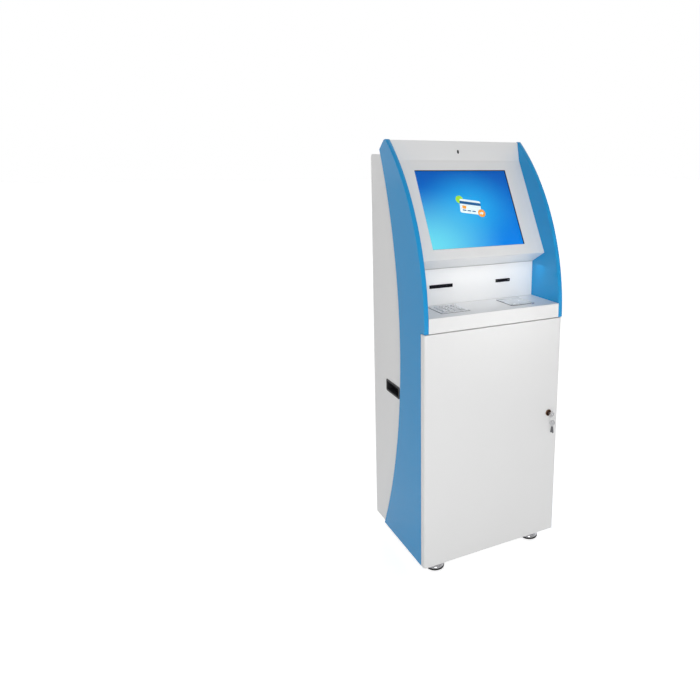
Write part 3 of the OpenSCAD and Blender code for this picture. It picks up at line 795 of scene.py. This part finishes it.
def make_pad_details():
    """A screw in each corner of the PIN pad, a rubber frame round each key, and the gasket."""
    _, high, middle = box_of("pin_pad_housing")
    inset = 5 * MM
    bm = bmesh.new()
    for sx in (-1, 1):
        for sy in (-1, 1):
            x = middle.x + sx * (high.x - middle.x - inset)
            y = middle.y + sy * (high.y - middle.y - inset)
            lathe(bm, points_mm((0, 0), (2.6, 0), (2.3, 0.35), (1.2, 0.4), (1.2, 0.1, True), (0, 0.1)),
                  at(x, y, high.z), 24)
    piece("pad_screws", bm, "key")
    bm = bmesh.new()
    for node in PAD_KEYS:
        key_low, _, middle = box_of(node)
        framed(bm, plate_mm(17.8, 16.2, 1, 3), plate_mm(13, 11.4, 1, 3), 0.6 * MM,
               at(middle.x, middle.y, key_low.z - 4.9 * MM))
    piece("pad_membrane", bm, "membrane")
    gasket("pad_gasket", "pin_pad_housing", 0.8 * MM, 4.6 * MM, 2 * MM, 0.7 * MM, 0.2 * MM)


def make_reader_details():
    """The reader's gasket, and a lamp in a ring near its front corner."""
    gasket("reader_gasket", "id_reader", 0.9 * MM, 4.8 * MM, 2 * MM, 1.1 * MM, 0.25 * MM)
    low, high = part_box("id_reader")
    lamp = at(high.x - 11 * MM, low.y - 4.5 * MM, high.z - 2 * MM)
    bm = bmesh.new()
    lathe(bm, points_mm((3.2, 0), (5, 0), (5, 0.8), (4.4, 1.3), (3.2, 1.0)), lamp, 32, closed=True)
    piece("reader_lamp_ring", bm, "grey")
    bm = bmesh.new()
    lathe(bm, points_mm((0, 0), (3.2, 0), (3.2, 0.7), (2.4, 1.4), (1.2, 1.75), (0, 1.85)), lamp, 24)
    piece("reader_lamp", bm, "lamp")


# ---------- lock and keys ----------

def make_lock():
    """A ring on the lock's face, near-black like the plug to paint the shade on the face, fine ribs round
    its rim, and a washer behind the door's sheet.
    """
    low, _, middle = box_of("lock_barrel")
    face = at(middle.x, low.y, middle.z) @ facing((0, -1, 0))
    bm = bmesh.new()
    lathe(bm, points_mm((6.3, -0.2), (9.8, -0.2), (9.8, 0.2), (9.2, 0.42), (7.0, 0.42), (6.3, 0.1)),
          face, 40, closed=True)
    # The face ring is near-black: painted shade on the lock's face.
    piece("lock_face_ring", bm, "bronze", "front_door")
    ribs = 30
    bm = bmesh.new()
    for i in range(ribs):
        turn = face @ turned(360 * i / ribs, "Z")
        prism(bm, points_mm((-0.5, 11.75), (0.5, 11.75), (0.3, 12.25), (-0.3, 12.25)), 2.2 * MM,
              turn @ at_mm(0, 0, -2.6))
    piece("lock_knurl", bm, "brass", "front_door")
    washer_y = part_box("front_door")[0].y + 7.6 * MM
    bm = bmesh.new()
    lathe(bm, points_mm((9.9, 0), (14, 0), (14, 0.6), (13.4, 0.9), (9.9, 0.9)),
          at(middle.x, washer_y, middle.z) @ facing((0, 1, 0)), 32, closed=True)
    piece("lock_washer", bm, "zinc", "front_door")


def make_key_ring():
    """A split ring of two close turns, in place of the plain ring."""
    _, high, middle = box_of("key_ring")
    wire_r, turns, start = 1.0 * MM, 2, -math.pi / 3
    reach = high.x - middle.x - wire_r
    points = []
    steps = 96
    for i in range(steps + 1):
        a = start + 2 * math.pi * turns * i / steps
        y = (i / steps - 0.5) * wire_r
        points.append((middle.x + reach * math.sin(a), middle.y + y, middle.z + reach * math.cos(a)))
    ring = wire("split_ring", points, 0.48 * MM, "key", "key_ring")
    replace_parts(ring, "key_ring")


def spare_key_blade(top, tip, cuts):
    """Outline of a blade below a bow, as (y, z) points, with cuts on one side. All in millimetres."""
    half, slant, nose = 3.5, 2.2, 3
    pitch, first_cut = 3.6, tip + 5.0
    points = [(-half, top), (-half, tip + nose), (-half + slant, tip), (half - slant, tip),
              (half, tip + nose)]
    for i, cut in enumerate(cuts):
        z = first_cut + i * pitch
        points += [(half, z), (half - cut, z + 1.1), (half - cut, z + 2.0), (half, z + 3.1)]
    points.append((half, top))
    return points_mm(*points)


def make_spare_keys():
    """Two flat keys with pressed bows, hung on the ring."""
    ring_low, _, ring = box_of("key_ring")
    yaw, splay = 30, 7
    hole, bow, drop, thick = 4.2, 9.5, 4.0, 2.4
    blade_top, tip = -(drop + 6.5), -43.8
    blades, bows = bmesh.new(), bmesh.new()
    for side, cuts in ((-1, (1.6, 0.8, 2.0, 1.2, 1.7)), (1, (0.9, 1.9, 1.1, 1.8, 0.7))):
        hang = at(ring.x + side * 1.95 * MM, ring.y, ring_low.z - 1.3 * MM)
        upright = hang @ turned(yaw, "Z") @ turned(side * splay, "X") @ UPRIGHT
        prism(blades, spare_key_blade(blade_top, tip, cuts), 1.7 * MM,
              upright @ at_mm(0, 0, -0.85), 0.15 * MM)
        framed(bows, circle_points(bow * MM, 40, (0, -drop * MM)), circle_points(hole * MM, 40), thick * MM,
               upright @ at_mm(0, 0, -thick / 2), 0.45 * MM)
        neck = thick - 0.1
        prism(bows, plate_mm(8.6, 8, 1.4), neck * MM, upright @ at_mm(0, -(drop + bow), -neck / 2),
              0.35 * MM)
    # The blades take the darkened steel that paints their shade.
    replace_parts(piece("spare_key_blades", blades, "blade", "spare_keys"), "spare_keys")
    piece("spare_key_bows", bows, "key", "spare_keys")


def make_service_key_rim():
    """A raised rim round the bow of the key in the lock, outside the hole for the ring."""
    low, _, middle = box_of("service_key")
    bow_r, half_thick, key_tilt = 11.5 * MM, 1.2 * MM, 35
    across = at(middle.x, low.y + bow_r, middle.z) @ turned(key_tilt, "Y")
    bm = bmesh.new()
    for side in (-1, 1):
        lathe(bm, points_mm((10.25, -0.1), (11.1, -0.1), (10.95, 0.22), (10.4, 0.22)),
              across @ at(side * half_thick, 0, 0) @ facing((side, 0, 0)), 40, closed=True)
    piece("service_key_rim", bm, "key", "service_key")


# ---------- feet ----------

def foot_dome(reach, top):
    """Profile of a foot's metal dome, its nut and its threaded stud."""
    rim, rim_z, neck, rise = reach - 1.2 * MM, 8.4 * MM, 12 * MM, 9.6 * MM
    dome = [(0, 6 * MM), (rim, 6 * MM), (rim, rim_z)]
    steps = 8
    for i in range(steps + 1):
        a = math.pi / 2 * i / steps
        dome.append((neck + (rim - 1 * MM - neck) * math.cos(a), rim_z + rise * math.sin(a)))
    dome += points_mm((11, 19), (11, 25), (9.5, 26), (5.6, 26))
    root, crest, z, pitch = 5.6 * MM, 6 * MM, 26 * MM, 1.5 * MM
    while z < top - 2 * MM:
        dome += [(crest, z + 0.4 * MM), (crest, z + 0.7 * MM), (root, z + 1.1 * MM), (root, z + 1.4 * MM)]
        z += pitch
    return dome + [(5 * MM, top), (0, top)]


def foot_sole(reach):
    """Profile of the rubber sole, with a lip round the dome."""
    return [(0, 0), (reach - 2.2 * MM, 0), (reach - 0.6 * MM, 0.9 * MM), (reach, 3 * MM),
            (reach, 6.6 * MM), (reach - 0.8 * MM, 7.6 * MM), (reach - 2 * MM, 7.4 * MM),
            (reach - 2.4 * MM, 6.2 * MM), (0, 6.2 * MM)]


def make_feet():
    """A chrome dome with its stud, and a rubber sole, in place of each plain foot."""
    for node in FEET:
        _, high, middle = box_of(node)
        place = at(middle.x, middle.y, 0)
        reach = high.x - middle.x
        bm = bmesh.new()
        lathe(bm, foot_dome(reach, high.z), place, 48)
        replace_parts(piece(f"{node}_dome", bm, "chrome", node, 40), node)
        bm = bmesh.new()
        lathe(bm, foot_sole(reach), place, 48)
        piece(f"{node}_sole", bm, "rubber", node, 40)


# ---------- inside the cabinet ----------

def grille(bm, radius, place, rings=5, bars=4):
    """A fan guard of round wires and flat bars, drawn about its own Z."""
    half, high = 0.8 * MM, 1.4 * MM
    for i in range(rings):
        r = radius * (i + 1) / rings
        lathe(bm, [(r - half, 0), (r + half, 0), (r + half, high), (r - half, high)], place, 48, closed=True)
    for i in range(bars):
        prism(bm, rounded_rectangle(2 * radius, 2.2 * MM, 1 * MM, 3), 1.2 * MM,
              place @ turned(180 * i / bars, "Z"))


def make_computer():
    """A dark front with vents painted as dark plates of shade, a button and two sockets, and a fan guard and
    sockets at the rear.
    """
    low, high, middle = box_of("computer_unit")
    front = at(0, low.y, middle.z) @ facing((0, -1, 0))
    cover = 3 * MM
    face = rounded_rectangle(high.x - low.x - 6 * MM, high.z - low.z - 6 * MM, 5 * MM)
    bm = bmesh.new()
    prism(bm, face, cover, at(middle.x, 0, 0) @ front, 0.8 * MM)
    piece("computer_front", bm, "black")
    bm = bmesh.new()
    # Each vent is a thin dark plate: painted shade where an opening would be.
    for i in range(16):
        prism(bm, plate_mm(3.6, 52, 1.7, 4), 0.5 * MM, at(low.x + (40 + 9 * i) * MM, -cover, 0) @ front)
    piece("computer_vent_shade", bm, "dark")
    bm = bmesh.new()
    lathe(bm, points_mm((0, 0), (7, 0), (7, 1.4), (6.2, 2), (0, 1.7)),
          at(high.x - 26 * MM, -cover, 16 * MM) @ front, 32)
    for x in (70, 94):
        framed(bm, plate_mm(16, 8, 1), plate_mm(13, 5, 0.8), 1 * MM,
               at(high.x - x * MM, -cover, 16 * MM) @ front)
    piece("computer_button", bm, "zinc")
    rear = at(0, high.y, middle.z) @ facing((0, 1, 0))
    bm = bmesh.new()
    grille(bm, 34 * MM, at(low.x + 50 * MM, 0, 0) @ rear)
    piece("computer_fan_guard", bm, "key")
    bm = bmesh.new()
    for x, wide, tall in ((120, 30, 10), (160, 14, 12), (182, 14, 12), (206, 16, 13), (240, 36, 9)):
        framed(bm, plate_mm(wide, tall, 1.5), plate_mm(wide - 3, tall - 3, 1), 2.5 * MM,
               at(low.x + x * MM, 0, -14 * MM) @ rear)
    piece("computer_sockets", bm, "black")
    bm = bmesh.new()
    for x in (low.x + 8 * MM, high.x - 8 * MM):
        for z in (-34, 34):
            screw(bm, at(x, 0, z * MM) @ rear, 2.6 * MM)
    piece("computer_screws", bm, "key")


def make_power_unit():
    """A fan guard and a row of screw terminals on top of the power unit."""
    low, high, middle = box_of("power_unit")
    bm = bmesh.new()
    grille(bm, 38 * MM, at(middle.x - 34 * MM, middle.y, high.z))
    piece("power_fan_guard", bm, "key")
    terminal_h = 10 * MM
    bm = bmesh.new()
    block(bm, (high.x - 34 * MM, low.y + 10 * MM, high.z),
          (high.x - 16 * MM, high.y - 10 * MM, high.z + terminal_h), 0.8 * MM)
    piece("power_terminals", bm, "black")
    bm = bmesh.new()
    for i in range(9):
        screw(bm, at(high.x - 25 * MM, low.y + (20 + 12 * i) * MM, high.z + terminal_h), 3.2 * MM)
    piece("power_terminal_screws", bm, "key")


def gear(bm, radius, teeth, thick, place):
    """A spur gear with straight-sided teeth and a round hub."""
    outline = []
    for i in range(teeth):
        for share, reach in ((0.0, 0.90), (0.22, 0.90), (0.34, 1.0), (0.66, 1.0), (0.78, 0.90)):
            a = 2 * math.pi * (i + share) / teeth
            outline.append((radius * reach * math.cos(a), radius * reach * math.sin(a)))
    prism(bm, outline, thick, place)
    lathe(bm, [(0, thick), (0.3 * radius, thick), (0.26 * radius, thick + 1.2 * MM), (0, thick + 1.2 * MM)],
          place, 24)


def make_printer():
    """Gears, a lid and a release lever on the printer, and the paper that leaves its roll."""
    low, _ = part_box("receipt_printer")
    case_depth, lid_z = 112 * MM, low.z + 100 * MM
    back_y = low.y + case_depth
    bm = bmesh.new()
    for y, z, radius, teeth in ((34, 30, 15, 24), (58, 46, 11, 18), (80, 36, 9, 14)):
        side = at(low.x + 144 * MM, low.y + y * MM, low.z + z * MM) @ facing((1, 0, 0))
        gear(bm, radius * MM, teeth, 4 * MM, side)
    piece("printer_gears", bm, "nylon")
    bm = bmesh.new()
    block(bm, (low.x + 6 * MM, low.y + 20 * MM, lid_z),
          (low.x + 138 * MM, back_y - 14 * MM, lid_z + 3 * MM), 1 * MM)
    piece("printer_lid", bm, "grey")
    bm = bmesh.new()
    block(bm, (low.x + 60 * MM, back_y - 12 * MM, lid_z),
          (low.x + 84 * MM, back_y - 2 * MM, lid_z + 8 * MM), 1.5 * MM)
    piece("printer_lever", bm, "lever")
    make_paper()


def make_paper():
    """The web that runs off the top of the roll, and the layers seen on the roll's ends."""
    low, high, middle = box_of("paper_roll")
    reach = high.z - middle.z + 0.5 * MM
    wrap = [math.radians(30 - 6 * i) for i in range(6)]
    path = [(middle.y + reach * math.sin(a), middle.z + reach * math.cos(a)) for a in wrap]
    lead_z = path[-1][1]
    path += [(middle.y - 8 * MM - 5 * MM * i, lead_z - 0.12 * MM * i * i) for i in range(1, 7)]
    outline = path + [(y, z + 0.15 * MM) for y, z in reversed(path)]
    bm = bmesh.new()
    prism(bm, outline, high.x - low.x, at(low.x, 0, 0) @ UPRIGHT)
    piece("paper_web", bm, "paper")
    bm = bmesh.new()
    for x, way in ((low.x, -1), (high.x, 1)):
        for r in (14, 20, 26):
            lathe(bm, points_mm((r, -0.1), (r + 0.4, -0.1), (r + 0.3, 0.08), (r + 0.1, 0.08)),
                  at(x, middle.y, middle.z) @ facing((way, 0, 0)), 48, closed=True)
    piece("paper_layers", bm, "paper", "paper_roll")


def make_card_reader():
    """A circuit board with its chips and screws on top of the reader, and two gears on its side."""
    low, high, middle = box_of("card_reader")
    board_z = high.z + 1.6 * MM
    bm = bmesh.new()
    block(bm, (low.x + 8 * MM, low.y + 30 * MM, high.z), (high.x - 8 * MM, high.y - 6 * MM, board_z),
          0.3 * MM)
    piece("card_reader_board", bm, "board")
    bm = bmesh.new()
    for x, y, wide, deep, tall in ((16, 50, 14, 14, 3), (40, 60, 10, 10, 2), (56, 44, 8, 16, 4),
                                   (20, 86, 18, 7, 5), (50, 92, 12, 12, 2.5)):
        block(bm, (low.x + x * MM, low.y + y * MM, board_z),
              (low.x + (x + wide) * MM, low.y + (y + deep) * MM, board_z + tall * MM), 0.3 * MM)
    piece("card_reader_chips", bm, "dark")
    bm = bmesh.new()
    for x, y in ((12, 34), (72, 34), (12, 130), (72, 130)):
        screw(bm, at(low.x + x * MM, low.y + y * MM, board_z), 2.2 * MM)
    piece("card_reader_screws", bm, "key")
    bm = bmesh.new()
    for y, radius, teeth in ((60, 12, 20), (86, 14, 24)):
        side = at(low.x, low.y + y * MM, middle.z) @ facing((-1, 0, 0))
        gear(bm, radius * MM, teeth, 3 * MM, side)
    piece("card_reader_gears", bm, "nylon")


def make_door_seal():
    """A rubber strip on the frame, just clear of the closed door."""
    low, high, middle = box_of("door_frame")
    width, height = high.x - low.x, high.z - low.z
    outer = rounded_rectangle(width - 8 * MM, height - 12 * MM, 8 * MM)
    inner = rounded_rectangle(width - 22 * MM, height - 26 * MM, 5 * MM)
    bm = bmesh.new()
    framed(bm, outer, inner, 1.4 * MM, at(middle.x, low.y, middle.z) @ facing((0, -1, 0)), 0.4 * MM)
    piece("door_seal", bm, "rubber")


def make_stiffener_welds():
    """Weld marks along the flanges of the door's channels."""
    low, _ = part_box("door_stiffeners")
    flange_y, flange_x, pitch = low.y + 2 * MM, 25, 87
    bm = bmesh.new()
    for channel_x in (-130, 110):
        for side in (-1, 1):
            for i in range(9):
                x, z = (channel_x + side * flange_x) * MM, low.z + (30 + i * pitch) * MM
                lathe(bm, points_mm((0, 0), (2.6, 0), (2.2, 0.3), (0, 0.15)),
                      at(x, flange_y, z) @ facing((0, 1, 0)), 20)
    piece("stiffener_welds", bm, "white", "front_door")


# ---------- rear and underside ----------

def make_back_screws():
    """Screws round the back panel, and a row along the ledge of the top cover."""
    low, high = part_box("back_panel")
    out = facing((0, 1, 0))
    inset, pitch = 28 * MM, 215 * MM
    bm = bmesh.new()
    for sx in (-1, 1):
        for i in range(7):
            screw(bm, at(sx * (high.x - inset), high.y, low.z + 50 * MM + i * pitch) @ out, 4 * MM)
    for x in (-120, 0, 120):
        screw(bm, at(x * MM, high.y, high.z - 25 * MM) @ out, 4 * MM)
        screw(bm, at((x + 40) * MM, high.y, low.z + 40 * MM) @ out, 4 * MM)
    piece("back_screws", bm, "key")
    _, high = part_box("top_cover")
    ledge_z = max(v.co.z for v in NODES["top_cover"].data.vertices if v.co.y > high.y - 5 * MM)
    bm = bmesh.new()
    for x in (-210, -70, 70, 210):
        screw(bm, at(x * MM, high.y - 42 * MM, ledge_z), 4 * MM)
    piece("cover_screws", bm, "key")


def make_rear_latch():
    """Fine ribs round the latch's head, and a dark plate across it that paints the shade of its slot."""
    _, high, middle = box_of("rear_latch")
    head_r, ribs = 10 * MM, 28
    head = at(middle.x, high.y, high.z - head_r) @ facing((0, 1, 0))
    bm = bmesh.new()
    for i in range(ribs):
        turn = head @ turned(360 * i / ribs, "Z")
        prism(bm, points_mm((-0.6, 9.7), (0.6, 9.7), (0.3, 10.4), (-0.3, 10.4)), 4 * MM,
              turn @ at_mm(0, 0, -4.4))
    piece("latch_knurl", bm, "key", "rear_latch")
    bm = bmesh.new()
    # The slot is a thin dark plate: painted shade, not a cut.
    prism(bm, plate_mm(15, 2.2, 1, 4), 0.2 * MM, head @ at_mm(0, 0, -0.15))
    piece("latch_slot_shade", bm, "dark", "rear_latch")


def make_inlet():
    """Three contact blades and two screws."""
    _, high, middle = box_of("power_inlet")
    half_x, half_z = 1 * MM, 2.4 * MM
    bm = bmesh.new()
    for dx, dz in ((0, 3.5), (-6.5, -2.5), (6.5, -2.5)):
        x, z = middle.x + dx * MM, middle.z + dz * MM
        block(bm, (x - half_x, high.y - 18.4 * MM, z - half_z), (x + half_x, high.y - 5 * MM, z + half_z),
              0.5 * MM)
    piece("inlet_pins", bm, "brass")
    bm = bmesh.new()
    for sx in (-1, 1):
        screw(bm, at(middle.x + sx * 19.5 * MM, high.y, middle.z) @ facing((0, 1, 0)), 3 * MM)
    piece("inlet_screws", bm, "key")


def make_grommet():
    """Rubber edging in the cable hole of the base tray."""
    low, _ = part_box("base_tray")
    under, over = low.z, low.z + 2 * MM
    inner, neck, rim = 22.5 * MM, 24.9 * MM, 28.5 * MM
    hole_x, from_back = -150 * MM, 105 * MM
    hole = at(hole_x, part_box("back_panel")[1].y - from_back, 0)
    bm = bmesh.new()
    lathe(bm, [(inner, under - 1.2 * MM), (rim, under - 1.2 * MM), (rim, under - 0.1 * MM),
               (neck, under - 0.1 * MM), (neck, over + 0.1 * MM), (rim, over + 0.1 * MM),
               (rim, over + 1.2 * MM), (inner, over + 1.2 * MM)], hole, 48, closed=True)
    piece("cable_grommet", bm, "rubber")


def make_handle_details():
    """Ribs on the grip lip of each carry handle."""
    _, high, middle = box_of("carry_handles")
    grip_z = middle.z - 15.1 * MM
    bm = bmesh.new()
    for side in (-1, 1):
        for i in range(9):
            x = side * (high.x - 12 * MM)
            y = middle.y + (i - 4) * 10 * MM
            block(bm, (x - 6 * MM, y - 1.2 * MM, grip_z - 1 * MM),
                  (x + 6 * MM, y + 1.2 * MM, grip_z), 0.4 * MM)
    piece("handle_ribs", bm, "black")


make_camera()
make_materials()
make_studio()
dress_nodes()
make_screen()
make_monitor_back()
make_camera_lens()
make_slots()
make_legends()
make_pad_details()
make_reader_details()
make_lock()
make_key_ring()
make_spare_keys()
make_service_key_rim()
make_feet()
make_computer()
make_power_unit()
make_printer()
make_card_reader()
make_door_seal()
make_stiffener_welds()
make_back_screws()
make_rear_latch()
make_inlet()
make_grommet()
make_handle_details()
